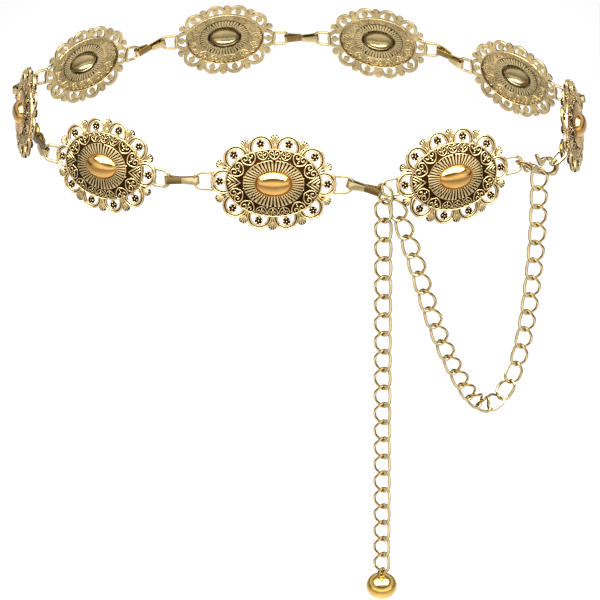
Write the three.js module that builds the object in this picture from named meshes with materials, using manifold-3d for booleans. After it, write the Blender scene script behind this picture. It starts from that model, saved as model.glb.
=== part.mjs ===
// Concho chain belt, worn round the waist: nine oval conchos joined by strip hooks,
// a lobster clasp, a hanging tail chain with a ball, and a draped chain.
// Units are millimetres, +Z is up, the front faces -Y, the origin is the middle of the waist.
import * as THREE from "three";
import { mergeVertices } from "three/addons/utils/BufferGeometryUtils.js";
import Module from "manifold-3d";

const wasm = await Module();
wasm.setup();

// Driving dimensions of a concho
const RIM_HALF_LENGTH = 24.5;
const RIM_HALF_HEIGHT = 17.4;
const PLATE_THICKNESS = 1.2;
const SCALLOP_COUNT = 10;
const SCALLOP_RADIUS = 6.3;
const SCALLOP_OFFSET = 1.1;
const FAN_REACH = 7.1;
const FAN_HALF_WIDTH = 2.2;
const LOOP_WIRE = 1.2;
const LOOP_BAR_AT = 30.7;
const LOOP_END_AT = 39.8;
const LOOP_HALF_HEIGHT = 4.2;
const LOOP_DEPTH = -1.6;
const LEAN = 13;

// Driving dimensions of the hooks and rings
const STRIP_HEIGHT = 3;
const STRIP_THICKNESS = 0.8;
const HOOK_RADIUS = 2.05;
const RING_HOOK_RADIUS = 2.6;
const RING_RADIUS = 5.3;
const RING_WIRE = 1.4;
const RING_TURN = -47;
const RING_DROP = 3.5;
const RING_ACROSS = 2.2;
const TAIL_SEAT = -12;

// Driving dimensions of the clasp, in its own plane: along the clasp and up
const CLASP_THICKNESS = 2;
const LEVER_THICKNESS = 1.6;
const EYE_RADIUS = 2.2;
const EYE_AT = -1.2;
const CLASP_BODY = [
  [0.8, -1.3], [4.2, -2.9], [16.2, -3.8], [19.6, -2.4], [20.2, 0.6], [18.4, 4.2],
  [14.6, 6.3], [10.4, 6.2], [10.4, 4.5], [14, 4.5], [16.9, 2.9], [18.3, 0.2],
  [17.7, -1.2], [15.8, -2.1], [7.0, -1.7], [5.6, 0.6], [4.2, 1.9], [0.8, 1.3],
];
const CLASP_LEVER = [
  [5.0, 2.9], [6.5, 1.3], [8.0, 1.0], [9.8, 4.4], [9.8, 6.0], [8.6, 6.0], [5.6, 4.6], [3.0, 7.4], [1.9, 6.6],
];

// Driving dimensions of the chains
const LINK_WIRE = 1.3;
const LINK_HALF_LENGTH = 5.973;
const LINK_HALF_WIDTH = 3.9;
const FUSED_CROSSING = 0.75;
const FREE_CROSSING = 1.55;
const TAIL_RUNS = 7;
const TAIL_RUN_LINKS = 3;
const TAIL_TURN_TOP = -20;
const TAIL_TURN_END = -5;
const SWAG_RUNS = 7;
const SWAG_RUN_LINKS = 4;
const SWAG_HANG_AT = 33.2;
const SWAG_TURN_TOP = -40;
const SWAG_TURN_END = -6;
const SMALL_LINK_HALF_WIDTH = 3.1;
const SMALL_LINK_MARGIN = 2.1;
const BAIL_RADIUS = 2.4;
const BALL_RADIUS = 8;
const BALL_HALF_HEIGHT = 6.9;

// Where each concho sits round the waist: centre, facing turn from the front and roll in degrees
const CONCHO_PLACES = [
  { name: "front_centre", x: -10, y: -111, z: 1, turn: 0, roll: -3 },
  { name: "front_left", x: -98, y: -84, z: 1, turn: -31, roll: 0 },
  { name: "side_left", x: -149, y: -10, z: 3, turn: -74, roll: 1 },
  { name: "back_left", x: -123, y: 71, z: 2, turn: -135, roll: 3 },
  { name: "back_centre_left", x: -41, y: 112, z: 2, turn: -168, roll: 3 },
  { name: "back_centre_right", x: 53, y: 102, z: 1, turn: -198, roll: 1 },
  { name: "back_right", x: 131, y: 51, z: -5, turn: -224, roll: 1 },
  { name: "side_right", x: 154, y: -31, z: -3, turn: -286, roll: 1 },
  { name: "front_right", x: 82, y: -100, z: -2, turn: -338, roll: 0 },
];

// Section of a concho from rim to middle: half length, half height, front height
const DOME_SECTION = [
  { name: "rim", length: RIM_HALF_LENGTH, height: RIM_HALF_HEIGHT, front: 0.7 },
  { name: "flute_outside", length: 15.2, height: 11.6, front: 1.9 },
  { name: "dome_foot", length: 9.6, height: 6.5, front: 2.5 },
  { name: "dome_shoulder", length: 6.8, height: 4.5, front: 5.2 },
];
const DOME_TOP = 6.6;
const RING_POINTS = 16;

// Outline of one scallop: angle from the concho's radius in degrees
const SCALLOP_ANGLES = [-56, -19, 19, 56];

// Outline of one fan: side position as a share of its half width, reach as a share of its reach
const FAN_OUTLINE = [
  { side: -1, reach: 0.78 },
  { side: -0.5, reach: 1 },
  { side: 0.5, reach: 1 },
  { side: 1, reach: 0.78 },
];

// One of the two gaps beside the flower in a scallop: side position and distance from the rim
const GAP_OUTLINE = [
  { side: 1.0, out: 0.9 },
  { side: 4.2, out: 1.1 },
  { side: 3.4, out: 4.1 },
  { side: 1.5, out: 4.6 },
];

// Outline of every link: side position and height as shares of its half width and half length
const LINK_OUTLINE = [
  { side: 0.36, up: 1 },
  { side: 1, up: 0.52 },
  { side: 1, up: -0.52 },
  { side: 0.36, up: -1 },
  { side: -0.36, up: -1 },
  { side: -1, up: -0.52 },
  { side: -1, up: 0.52 },
  { side: -0.36, up: 1 },
];

// Route of the draped chain: distance along its chord, drop, and set-back from the chord
const SWAG_ROUTE = [
  { along: 0, up: -9.3, back: 0 },
  { along: 11, up: -44, back: -4 },
  { along: 21, up: -78, back: -7 },
  { along: 34, up: -109, back: -8 },
  { along: 50, up: -135, back: -6 },
  { along: 68, up: -147, back: 2 },
  { along: 83, up: -141, back: 8 },
  { along: 91, up: -118, back: 8 },
  { along: 93.5, up: -84, back: 5 },
  { along: 93.5, up: -46, back: 2 },
  { along: 91.5, up: -9.2, back: 0 },
];

const gold = new THREE.MeshStandardMaterial({ color: 0xc9983f, roughness: 0.32, metalness: 1 });
const paleGold = new THREE.MeshStandardMaterial({ color: 0xd8bc72, roughness: 0.25, metalness: 1 });
const polishedGold = new THREE.MeshStandardMaterial({ color: 0xd9a441, roughness: 0.12, metalness: 1 });

const radians = THREE.MathUtils.degToRad;
const belt = new THREE.Group();

// Put one named mesh into the belt
function addPiece(name, geometry, material, parent = belt) {
  const mesh = new THREE.Mesh(geometry, material);
  mesh.name = name;
  parent.add(mesh);
  return mesh;
}

// A closed surface from its points and triangles
function surface(points, triangles) {
  const geometry = new THREE.BufferGeometry();
  geometry.setAttribute("position", new THREE.Float32BufferAttribute(points.flat(), 3));
  geometry.setIndex(triangles.flat());
  geometry.computeVertexNormals();
  return geometry;
}

// A solid that can be joined to another
function toSolid(geometry) {
  const bare = geometry.clone();
  bare.deleteAttribute("normal");
  bare.deleteAttribute("uv");
  const merged = mergeVertices(bare, 1e-4);
  return new wasm.Manifold(new wasm.Mesh({
    numProp: 3,
    vertProperties: new Float32Array(merged.attributes.position.array),
    triVerts: new Uint32Array(merged.index.array),
  }));
}

// The geometry of a joined solid
function fromSolid(solid) {
  const mesh = solid.getMesh();
  const geometry = new THREE.BufferGeometry();
  geometry.setAttribute("position", new THREE.BufferAttribute(mesh.vertProperties, 3));
  geometry.setIndex(new THREE.BufferAttribute(mesh.triVerts, 1));
  geometry.computeVertexNormals();
  return geometry;
}

function joined(geometries) {
  return fromSolid(geometries.map(toSolid).reduce((whole, next) => whole.add(next)));
}

// Round wire bent into a closed loop, with a square-cut section whose flats face the reference
function closedWire(path, wire, reference, sides = 4) {
  const radius = wire * 0.56;
  const count = path.length;
  const tangents = path.map((point, k) => new THREE.Vector3().subVectors(
    path[(k + 1) % count], path[(k + count - 1) % count]).normalize());
  const normals = [];
  let normal = reference.clone();
  for (let k = 0; k <= count; k += 1) {
    const tangent = tangents[k % count];
    normal = normal.clone().addScaledVector(tangent, -normal.dot(tangent)).normalize();
    normals.push(normal);
  }
  const side = new THREE.Vector3().crossVectors(tangents[0], normals[0]);
  const drift = Math.atan2(normals[count].dot(side), normals[count].dot(normals[0]));
  const points = [];
  const triangles = [];
  for (let k = 0; k < count; k += 1) {
    const turned = normals[k].clone().applyAxisAngle(tangents[k], -drift * k / count);
    const across = new THREE.Vector3().crossVectors(tangents[k], turned);
    for (let j = 0; j < sides; j += 1) {
      const angle = (j + 0.5) * 2 * Math.PI / sides;
      const point = path[k].clone()
        .addScaledVector(turned, radius * Math.cos(angle))
        .addScaledVector(across, radius * Math.sin(angle));
      points.push(point.toArray());
    }
  }
  for (let k = 0; k < count; k += 1) {
    for (let j = 0; j < sides; j += 1) {
      const a = k * sides + j;
      const b = k * sides + (j + 1) % sides;
      const c = ((k + 1) % count) * sides + (j + 1) % sides;
      const d = ((k + 1) % count) * sides + j;
      triangles.push([a, b, c], [a, c, d]);
    }
  }
  return surface(points, triangles);
}

// Flat outline raised to a thickness along Z, centred on the plane
function slab(outline, thickness, holes = []) {
  const shape = new THREE.Shape(outline.map(([x, y]) => new THREE.Vector2(x, y)));
  for (const hole of holes) {
    shape.holes.push(new THREE.Path(hole.map(([x, y]) => new THREE.Vector2(x, y))));
  }
  const geometry = new THREE.ExtrudeGeometry(shape, { depth: thickness, bevelEnabled: false });
  geometry.translate(0, 0, -thickness / 2);
  return geometry;
}

// Rim angles that share the oval rim out by length, starting at the long end
function rimAngles(parts) {
  const steps = 3600;
  const lengths = [0];
  for (let k = 1; k <= steps; k += 1) {
    const angle = (k - 0.5) / steps * 2 * Math.PI;
    const pace = Math.hypot(RIM_HALF_LENGTH * Math.sin(angle), RIM_HALF_HEIGHT * Math.cos(angle));
    lengths.push(lengths[k - 1] + pace);
  }
  const angles = [];
  for (let part = 0; part < parts; part += 1) {
    const wanted = lengths[steps] * part / parts;
    angles.push(lengths.findIndex((length) => length >= wanted) / steps * 2 * Math.PI);
  }
  return angles;
}

// A place beside the rim: its side position along the rim and its distance outside it
function besideRim(angle, side, out) {
  const foot = new THREE.Vector2(RIM_HALF_LENGTH * Math.cos(angle), RIM_HALF_HEIGHT * Math.sin(angle));
  const normal = new THREE.Vector2(
    Math.cos(angle) / RIM_HALF_LENGTH, Math.sin(angle) / RIM_HALF_HEIGHT).normalize();
  const along = new THREE.Vector2(-normal.y, normal.x);
  const pace = Math.hypot(RIM_HALF_LENGTH * Math.sin(angle), RIM_HALF_HEIGHT * Math.cos(angle));
  const bend = RIM_HALF_LENGTH * RIM_HALF_HEIGHT / pace ** 3;
  const fall = side * side * bend / 2 * 0.8;
  return foot.addScaledVector(along, side).addScaledVector(normal, out - fall);
}

// Oval loop of points at one height
function oval(halfLength, halfHeight, height) {
  const points = [];
  for (let k = 0; k < RING_POINTS; k += 1) {
    const angle = k / RING_POINTS * 2 * Math.PI;
    points.push([halfLength * Math.cos(angle), halfHeight * Math.sin(angle), height]);
  }
  return points;
}

// The stamped concho: pierced scalloped border, raised oval middle and hollow back
function conchoPlate() {
  const outline = [];
  const gaps = [];
  rimAngles(SCALLOP_COUNT * 2).forEach((angle, k) => {
    if (k % 2 === 0) {
      for (const turn of SCALLOP_ANGLES) {
        const swing = radians(turn);
        outline.push(besideRim(angle, SCALLOP_RADIUS * Math.sin(swing),
          SCALLOP_OFFSET + SCALLOP_RADIUS * Math.cos(swing)));
      }
      for (const hand of [-1, 1]) {
        const gap = GAP_OUTLINE.map(({ side, out }) => besideRim(angle, hand * side, out));
        gaps.push(hand > 0 ? gap : gap.reverse());
      }
    } else {
      for (const { side, reach } of FAN_OUTLINE) {
        outline.push(besideRim(angle, side * FAN_HALF_WIDTH, reach * FAN_REACH));
      }
    }
  });
  const rim = oval(RIM_HALF_LENGTH, RIM_HALF_HEIGHT, 0).map(([x, y]) => new THREE.Vector2(x, y));
  const holes = [...gaps, rim];
  const border = THREE.ShapeUtils.triangulateShape(outline, holes);
  const flat = [outline, ...holes].flat();
  const rimStart = flat.length - RING_POINTS;

  const points = [];
  const triangles = [];
  for (const front of [true, false]) {
    const base = points.length;
    flat.forEach((point, k) => {
      const height = front ? 0 : -PLATE_THICKNESS;
      const bead = k >= rimStart && front ? DOME_SECTION[0].front : 0;
      points.push([point.x, point.y, height + bead]);
    });
    for (const [a, b, c] of border) {
      triangles.push(front ? [base + a, base + b, base + c] : [base + a, base + c, base + b]);
    }
    let inner = base + rimStart;
    for (const { length, height, front: rise } of DOME_SECTION.slice(1)) {
      const start = points.length;
      const shrink = front ? 0 : 0.7;
      const level = front ? rise : rise - PLATE_THICKNESS;
      points.push(...oval(length - shrink, height - shrink, level));
      for (let k = 0; k < RING_POINTS; k += 1) {
        const next = (k + 1) % RING_POINTS;
        const quad = [inner + k, inner + next, start + next, start + k];
        triangles.push(...facing(front, quad));
      }
      inner = start;
    }
    points.push([0, 0, front ? DOME_TOP : DOME_TOP - PLATE_THICKNESS]);
    for (let k = 0; k < RING_POINTS; k += 1) {
      const triangle = [inner + k, inner + (k + 1) % RING_POINTS, points.length - 1];
      triangles.push(front ? triangle : [triangle[0], triangle[2], triangle[1]]);
    }
    if (front) {
      continue;
    }
    let start = 0;
    for (const loop of [outline, ...gaps]) {
      for (let k = 0; k < loop.length; k += 1) {
        const a = start + k;
        const b = start + (k + 1) % loop.length;
        triangles.push([a, base + b, b], [a, base + a, base + b]);
      }
      start += loop.length;
    }
  }
  return surface(points, triangles);
}

function facing(front, [a, b, c, d]) {
  return front ? [[a, b, c], [a, c, d]] : [[a, c, b], [a, d, c]];
}

// The wire loop behind one long end of a concho
function endLoop(hand) {
  const corners = [
    [LOOP_BAR_AT, -LOOP_HALF_HEIGHT],
    [LOOP_END_AT - 3.2, -LOOP_HALF_HEIGHT],
    [LOOP_END_AT, -2.6],
    [LOOP_END_AT, 2.6],
    [LOOP_END_AT - 3.2, LOOP_HALF_HEIGHT],
    [LOOP_BAR_AT, LOOP_HALF_HEIGHT],
  ];
  const path = corners.map(([x, y]) => new THREE.Vector3(hand * x, hand * y, LOOP_DEPTH));
  return closedWire(path, LOOP_WIRE, new THREE.Vector3(0, 0, 1));
}

const concho = joined([conchoPlate(), endLoop(1), endLoop(-1)]);

// Where a concho's own axes point in the belt
function conchoFrame({ x, y, z, turn, roll }) {
  const along = new THREE.Vector3(Math.cos(radians(turn)), Math.sin(radians(turn)), 0);
  const out = new THREE.Vector3(Math.sin(radians(turn)), -Math.cos(radians(turn)), 0);
  const frame = new THREE.Matrix4().makeBasis(along, new THREE.Vector3(0, 0, 1), out);
  frame.multiply(new THREE.Matrix4().makeRotationZ(radians(roll)));
  frame.multiply(new THREE.Matrix4().makeRotationX(-radians(LEAN)));
  return frame.setPosition(x, y, z);
}

function place(object, frame) {
  frame.decompose(object.position, object.quaternion, object.scale);
  return object;
}

const frames = CONCHO_PLACES.map(conchoFrame);
CONCHO_PLACES.forEach(({ name }, k) => {
  place(addPiece(`concho_${name}`, concho, gold), frames[k]);
});

// Middle of the outer wire of a concho's end loop
function loopEnd(k, hand) {
  return new THREE.Vector3(hand * LOOP_END_AT, 0, LOOP_DEPTH).applyMatrix4(frames[k]);
}

// The lengthwise direction of that wire
function loopUp(k) {
  return new THREE.Vector3().setFromMatrixColumn(frames[k], 1);
}

// Strip bent into an S whose two ends curl round two wires
function stripHook(span, radius) {
  const half = span / 2;
  const centre = [[-1.1, -radius]];
  for (const angle of [270, 225, 180, 135, 90]) {
    centre.push([-half + radius * Math.cos(radians(angle)), radius * Math.sin(radians(angle))]);
  }
  for (const angle of [-90, -45, 0, 45, 90]) {
    centre.push([half + radius * Math.cos(radians(angle)), radius * Math.sin(radians(angle))]);
  }
  centre.push([1.1, radius]);
  const left = [];
  const right = [];
  centre.forEach(([x, y], k) => {
    const before = centre[Math.max(k - 1, 0)];
    const after = centre[Math.min(k + 1, centre.length - 1)];
    const dx = after[0] - before[0];
    const dy = after[1] - before[1];
    const scale = STRIP_THICKNESS / 2 / Math.hypot(dx, dy);
    left.push([x - dy * scale, y + dx * scale]);
    right.unshift([x + dy * scale, y - dx * scale]);
  });
  return slab([...left, ...right], STRIP_HEIGHT);
}

// A hook between two wire places, its height along the wires' mean direction
function addHook(name, from, to, up, radius = HOOK_RADIUS) {
  const along = new THREE.Vector3().subVectors(to, from);
  const span = along.length();
  along.normalize();
  const across = new THREE.Vector3().crossVectors(up, along).normalize();
  const height = new THREE.Vector3().crossVectors(along, across);
  const frame = new THREE.Matrix4().makeBasis(along, across, height);
  frame.setPosition(new THREE.Vector3().addVectors(from, to).multiplyScalar(0.5));
  place(addPiece(name, stripHook(span, radius), paleGold), frame);
}

// The seven hooks that join concho to concho directly, the nearer end of each strip on the outside
for (let k = 0; k < 7; k += 1) {
  const up = loopUp(k).add(loopUp(k + 1)).negate();
  addHook(`hook_${CONCHO_PLACES[k].name}_to_${CONCHO_PLACES[k + 1].name}`,
    loopEnd(k, -1), loopEnd(k + 1, 1), up);
}

// The large ring: upright, turned across the right loop, which it passes through
const loopBesideRing = loopEnd(8, -1);
const ringAlong = new THREE.Vector3(Math.cos(radians(RING_TURN)), Math.sin(radians(RING_TURN)), 0);
const ringAcross = new THREE.Vector3(-ringAlong.y, ringAlong.x, 0);
const ringCentre = loopBesideRing.clone().addScaledVector(ringAcross, RING_ACROSS);
ringCentre.z -= RING_DROP;

function ringPoint(angle) {
  return ringCentre.clone()
    .addScaledVector(ringAlong, RING_RADIUS * Math.sin(radians(angle)))
    .add(new THREE.Vector3(0, 0, -RING_RADIUS * Math.cos(radians(angle))));
}

const ringPath = [];
for (let angle = 0; angle < 360; angle += 30) {
  ringPath.push(ringPoint(angle));
}
addPiece("chain_ring", closedWire(ringPath, RING_WIRE, ringAcross), paleGold);
addHook("hook_front_centre_to_ring", loopEnd(0, 1), ringPoint(-90), loopUp(0).add(new THREE.Vector3(0, 0, 1)),
  RING_HOOK_RADIUS);

// One twisted chain link along Z, its two ends a quarter turn apart
function chainLink(hand) {
  const path = LINK_OUTLINE.map(({ side, up }) => new THREE.Vector3(side * LINK_HALF_WIDTH, 0, 0)
    .applyAxisAngle(new THREE.Vector3(0, 0, 1), hand * radians(45) * up)
    .setZ(up * LINK_HALF_LENGTH));
  return closedWire(path, LINK_WIRE, new THREE.Vector3(0, 0, 1));
}

// Chain links hung along a route, joined into runs that stay clear of each other
function chainRuns(route, facingAt, hand, runs, runLinks) {
  const link = chainLink(hand);
  const pieces = [];
  let start = route(0);
  let travelled = 0;
  for (let run = 0; run < runs; run += 1) {
    const links = [];
    for (let k = 0; k < runLinks; k += 1) {
      const before = k === 0 ? FREE_CROSSING : FUSED_CROSSING;
      const after = k === runLinks - 1 ? FREE_CROSSING : FUSED_CROSSING;
      const reach = 2 * LINK_HALF_LENGTH - (before + after) / 2;
      let end = route(travelled);
      for (let step = 0; step < 2000 && end.distanceTo(start) < reach; step += 1) {
        travelled += 0.02;
        end = route(travelled);
      }
      const down = new THREE.Vector3().subVectors(end, start).normalize();
      const centre = start.clone().addScaledVector(down, LINK_HALF_LENGTH - before / 2);
      const turn = radians(facingAt((run * runLinks + k) / (runs * runLinks - 1)));
      const back = new THREE.Vector3(-Math.sin(turn), Math.cos(turn), 0);
      back.addScaledVector(down, -back.dot(down)).normalize();
      const up = down.clone().negate();
      const side = new THREE.Vector3().crossVectors(back, up);
      const frame = new THREE.Matrix4().makeBasis(side, back, up);
      frame.setPosition(centre);
      links.push(link.clone().applyMatrix4(frame));
      start = end;
    }
    pieces.push(joined(links));
  }
  return { pieces, end: start };
}

// The tail hangs straight down from the ring
const tailStart = ringPoint(TAIL_SEAT);
tailStart.z += FREE_CROSSING / 2 + 0.3;
const tail = chainRuns(
  (distance) => new THREE.Vector3(tailStart.x, tailStart.y, tailStart.z - distance),
  (share) => TAIL_TURN_TOP + (TAIL_TURN_END - TAIL_TURN_TOP) * share, 1, TAIL_RUNS, TAIL_RUN_LINKS);
tail.pieces.forEach((geometry, k) => addPiece(`tail_chain_${k + 1}`, geometry, paleGold));

// The ball and the small ring that carries it
const bailCentre = tail.end.clone();
bailCentre.z -= BAIL_RADIUS - FREE_CROSSING / 2 - 0.25;
const bailPath = [];
for (let angle = 0; angle < 360; angle += 45) {
  bailPath.push(bailCentre.clone()
    .add(new THREE.Vector3(Math.sin(radians(angle)), Math.sin(radians(angle)), 0)
      .multiplyScalar(BAIL_RADIUS * Math.SQRT1_2))
    .add(new THREE.Vector3(0, 0, BAIL_RADIUS * Math.cos(radians(angle)))));
}
const bail = closedWire(bailPath, LINK_WIRE, new THREE.Vector3(1, -1, 0).normalize());
const ballProfile = [];
for (let angle = -90; angle <= 90; angle += 18) {
  ballProfile.push(new THREE.Vector2(
    Math.abs(angle) === 90 ? 0 : BALL_RADIUS * Math.cos(radians(angle)),
    BALL_HALF_HEIGHT * Math.sin(radians(angle))));
}
const ball = new THREE.LatheGeometry(ballProfile, 16);
ball.rotateX(Math.PI / 2);
ball.translate(bailCentre.x, bailCentre.y, bailCentre.z - BAIL_RADIUS - BALL_HALF_HEIGHT + 0.5);
addPiece("ball_with_ring", joined([bail, ball]), polishedGold);

// The clasp: eye, body with its open hook, and the sprung lever that closes it
const claspEye = loopEnd(8, 1).add(new THREE.Vector3(4.9, 3.1, -3.8));
const claspEnd = loopEnd(7, -1).add(new THREE.Vector3(-1.4, -0.9, -8.2));
const claspAlong = new THREE.Vector3().subVectors(claspEnd, claspEye).normalize();
const claspAcross = new THREE.Vector3().crossVectors(new THREE.Vector3(0, 0, 1), claspAlong).normalize();
const claspUp = new THREE.Vector3().crossVectors(claspAlong, claspAcross);
const claspFrame = new THREE.Matrix4()
  .makeBasis(claspAlong, claspUp, new THREE.Vector3().crossVectors(claspAlong, claspUp))
  .setPosition(claspEye);
const clasp = place(new THREE.Group(), claspFrame);
belt.add(clasp);
const eyePath = [];
for (let angle = 0; angle < 360; angle += 45) {
  eyePath.push(new THREE.Vector3(
    EYE_AT + EYE_RADIUS * Math.cos(radians(angle)), EYE_RADIUS * Math.sin(radians(angle)), 0));
}
const eye = closedWire(eyePath, LOOP_WIRE, new THREE.Vector3(0, 0, 1));
addPiece("clasp_body", joined([slab(CLASP_BODY, CLASP_THICKNESS), eye]), paleGold, clasp);
addPiece("clasp_lever", slab(CLASP_LEVER, LEVER_THICKNESS), paleGold, clasp);

// A small link round two wires, reaching past each by a margin
function addSmallLink(name, from, to, margin, across) {
  const along = new THREE.Vector3().subVectors(to, from);
  const half = along.length() / 2 + margin;
  along.normalize();
  const out = across.clone().addScaledVector(along, -across.dot(along)).normalize();
  const middle = new THREE.Vector3().addVectors(from, to).multiplyScalar(0.5);
  const path = LINK_OUTLINE.map(({ side, up }) => middle.clone()
    .addScaledVector(along, half * up)
    .addScaledVector(out, SMALL_LINK_HALF_WIDTH * side));
  addPiece(name, closedWire(path, LOOP_WIRE, new THREE.Vector3().crossVectors(along, out)), paleGold);
}

const eyeCentre = new THREE.Vector3(EYE_AT, 0, 0).applyMatrix4(claspFrame);
const eyeGap = new THREE.Vector3().subVectors(loopEnd(8, 1), eyeCentre);
const eyeWire = eyeCentre.clone().addScaledVector(eyeGap.clone().normalize(), EYE_RADIUS);
addSmallLink("link_to_clasp_eye", loopEnd(8, 1), eyeWire, SMALL_LINK_MARGIN,
  new THREE.Vector3().crossVectors(eyeGap, loopUp(8)));
const hoopTop = new THREE.Vector3(16.6, 4.1, 0).applyMatrix4(claspFrame);
addSmallLink("link_to_side_right", loopEnd(7, -1), hoopTop, SMALL_LINK_MARGIN + 0.15, claspAcross);

// The draped chain from the right concho's loop to the bottom of the clasp
const swagStart = new THREE.Vector3(-SWAG_HANG_AT, -LOOP_HALF_HEIGHT, LOOP_DEPTH).applyMatrix4(frames[8]);
swagStart.z += FREE_CROSSING / 2;
const swagEnd = new THREE.Vector3(8.4, -3.5, 0).applyMatrix4(claspFrame);
const chord = new THREE.Vector3().subVectors(swagEnd, swagStart).setZ(0);
const chordLength = chord.length();
chord.normalize();
const chordBack = new THREE.Vector3(-chord.y, chord.x, 0);
const lastAlong = SWAG_ROUTE[SWAG_ROUTE.length - 1].along;
const swagCurve = new THREE.CatmullRomCurve3(SWAG_ROUTE.map(({ along, up, back }) => new THREE.Vector3(
  swagStart.x, swagStart.y, up)
  .addScaledVector(chord, along / lastAlong * chordLength)
  .addScaledVector(chordBack, back)), false, "centripetal");
swagCurve.arcLengthDivisions = 2000;
const swagLength = swagCurve.getLength();
const swag = chainRuns(
  (distance) => {
    const beyond = new THREE.Vector3(0, 0, Math.max(distance - swagLength, 0));
    return swagCurve.getPointAt(Math.min(distance / swagLength, 1)).add(beyond);
  },
  (share) => SWAG_TURN_TOP + (SWAG_TURN_END - SWAG_TURN_TOP) * share, -1, SWAG_RUNS, SWAG_RUN_LINKS);
swag.pieces.forEach((geometry, k) => addPiece(`swag_chain_${k + 1}`, geometry, paleGold));

export default belt;
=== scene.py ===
"""Concho chain belt: the looks of the belt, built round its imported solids."""

import math

import bmesh
import bpy
from mathutils import Matrix, Vector


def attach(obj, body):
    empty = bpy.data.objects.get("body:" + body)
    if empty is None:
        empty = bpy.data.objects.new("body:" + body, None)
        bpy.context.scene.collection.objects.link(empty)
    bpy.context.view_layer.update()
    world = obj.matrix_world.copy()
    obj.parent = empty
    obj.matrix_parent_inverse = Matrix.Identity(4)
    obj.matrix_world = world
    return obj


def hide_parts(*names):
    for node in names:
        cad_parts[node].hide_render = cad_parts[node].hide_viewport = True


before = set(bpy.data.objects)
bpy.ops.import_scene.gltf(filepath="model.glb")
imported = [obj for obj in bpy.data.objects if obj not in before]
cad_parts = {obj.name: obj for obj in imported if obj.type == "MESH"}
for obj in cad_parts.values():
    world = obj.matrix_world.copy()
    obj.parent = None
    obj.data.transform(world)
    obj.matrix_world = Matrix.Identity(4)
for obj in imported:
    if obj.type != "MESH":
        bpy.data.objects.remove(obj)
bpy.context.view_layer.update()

bl_info = {
    "name": "Concho chain belt",
    "version": (1, 0, 0),
    "blender": (4, 5, 0),
    "location": "3D View > Sidebar > Belt",
    "description": "Builds a chain belt of stamped oval conchos with its hooks, clasp and chains",
    "category": "Object",
}

MM = 0.001
UP = Vector((0, 0, 1))
FULL_TURN = 2 * math.pi


def table(columns, *rows):
    """Rows of values under named columns."""
    return [dict(zip(columns.split(), row)) for row in rows]


# Where each concho sits: name, middle in mm, facing turn from the front and roll in degrees
CONCHO_PLACES = table(
    "name at turn roll",
    ("front_centre", (-10, -111, 1), 0, -3),
    ("front_left", (-98, -84, 1), -31, 0),
    ("side_left", (-149, -10, 3), -74, 1),
    ("back_left", (-123, 71, 2), -135, 3),
    ("back_centre_left", (-41, 112, 2), -168, 3),
    ("back_centre_right", (53, 102, 1), -198, 1),
    ("back_right", (131, 51, -5), -224, 1),
    ("side_right", (154, -31, -3), -286, 1),
    ("front_right", (82, -100, -2), -338, 0),
)

# Section of a concho's oval middle in mm, from the lower edge of its rim to the top of its dome
MEDALLION_SECTION = table(
    "name length height front",
    ("rim_foot", 24.5, 17.4, -1.1),
    ("rim_side", 24.5, 17.4, 0.35),
    ("rim_shoulder", 24.35, 17.25, 0.6),
    ("rim_inside", 23.9, 16.8, 0.45),
    ("band_outside", 23.6, 16.5, 0.3),
    ("band_outer_third", 20.9, 14.9, 0.75),
    ("band_inner_third", 18.2, 13.3, 1.2),
    ("band_inside", 15.9, 12.3, 1.6),
    ("flute_wall", 15.6, 12.1, 1.85),
    ("flute_outside", 15.2, 11.75, 2.1),
    ("flute_outer_third", 13.3, 10.0, 2.4),
    ("flute_inner_third", 11.5, 8.2, 2.55),
    ("flute_inside", 9.75, 6.6, 2.6),
    ("dome_groove", 9.45, 6.35, 2.2),
    ("dome_foot", 9.3, 6.2, 2.45),
    ("dome_wall", 9.1, 6.05, 3.0),
    ("dome_side", 8.6, 5.7, 3.8),
    ("dome_shoulder", 7.7, 5.05, 4.6),
    ("dome_upper", 6.4, 4.15, 5.4),
    ("dome_high", 4.7, 3.05, 6.0),
    ("dome_higher", 2.8, 1.8, 6.35),
    ("dome_top", 0.95, 0.6, 6.5),
)

# Section of a scallop's arch in mm: distance from the scallop's middle, and height
ARCH_SECTION = table(
    "reach front",
    (6.35, -1.1), (6.45, -0.5), (6.3, -0.05), (5.9, 0.15), (5.62, 0.0), (5.42, -0.55),
    (5.08, -0.55), (4.95, -0.08), (4.65, 0.05), (4.35, -0.1), (4.25, -0.5), (4.3, -1.1),
)

# Right half of a heart scroll in mm: side position, and distance out towards the rim
SCROLL_HALF = table(
    "side out",
    (0.0, -2.0), (1.0, -1.6), (2.05, -0.75), (2.6, 0.4), (2.4, 1.5), (1.5, 2.05),
    (0.6, 1.7), (0.33, 0.85), (0.85, 0.2), (1.5, 0.4), (1.55, 1.0),
)

# Heart scrolls over one quarter of the band, in mm, and the size of each
SCROLLS = table(
    "x y scale",
    (0.0, 14.35, 1.0), (5.75, 13.85, 1.0), (12.6, 11.7, 1.38), (18.0, 6.1, 1.38),
)

# Small beads between the scrolls over one quarter of the band, in mm
FILLING_BEADS = table(
    "x y",
    (2.9, 15.4), (2.9, 12.6), (9.3, 14.6), (16.0, 10.9), (20.6, 7.6), (22.2, 5.2), (15.2, 2.9), (18.4, 3.0),
)

# Points of the chevrons nearest the middle, in mm from the centre, the slope of their arms and the
# longest way they go
CHEVRON_POINTS = (16.8, 19.1, 21.4)
CHEVRON_SLOPE = math.tan(math.radians(33))
CHEVRON_REACH = 6.2

# Half lengths and half heights in mm of ovals on a concho: where its flutes end beside the dome,
# where its rim begins, where the chevrons stop, and the middle line of the bead round the rim
FLUTE_END = (9.9, 6.75)
RIM_START = (23.95, 16.85)
CHEVRON_LIMIT = (23.5, 16.4)
ROPE = (24.2, 17.1)

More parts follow.
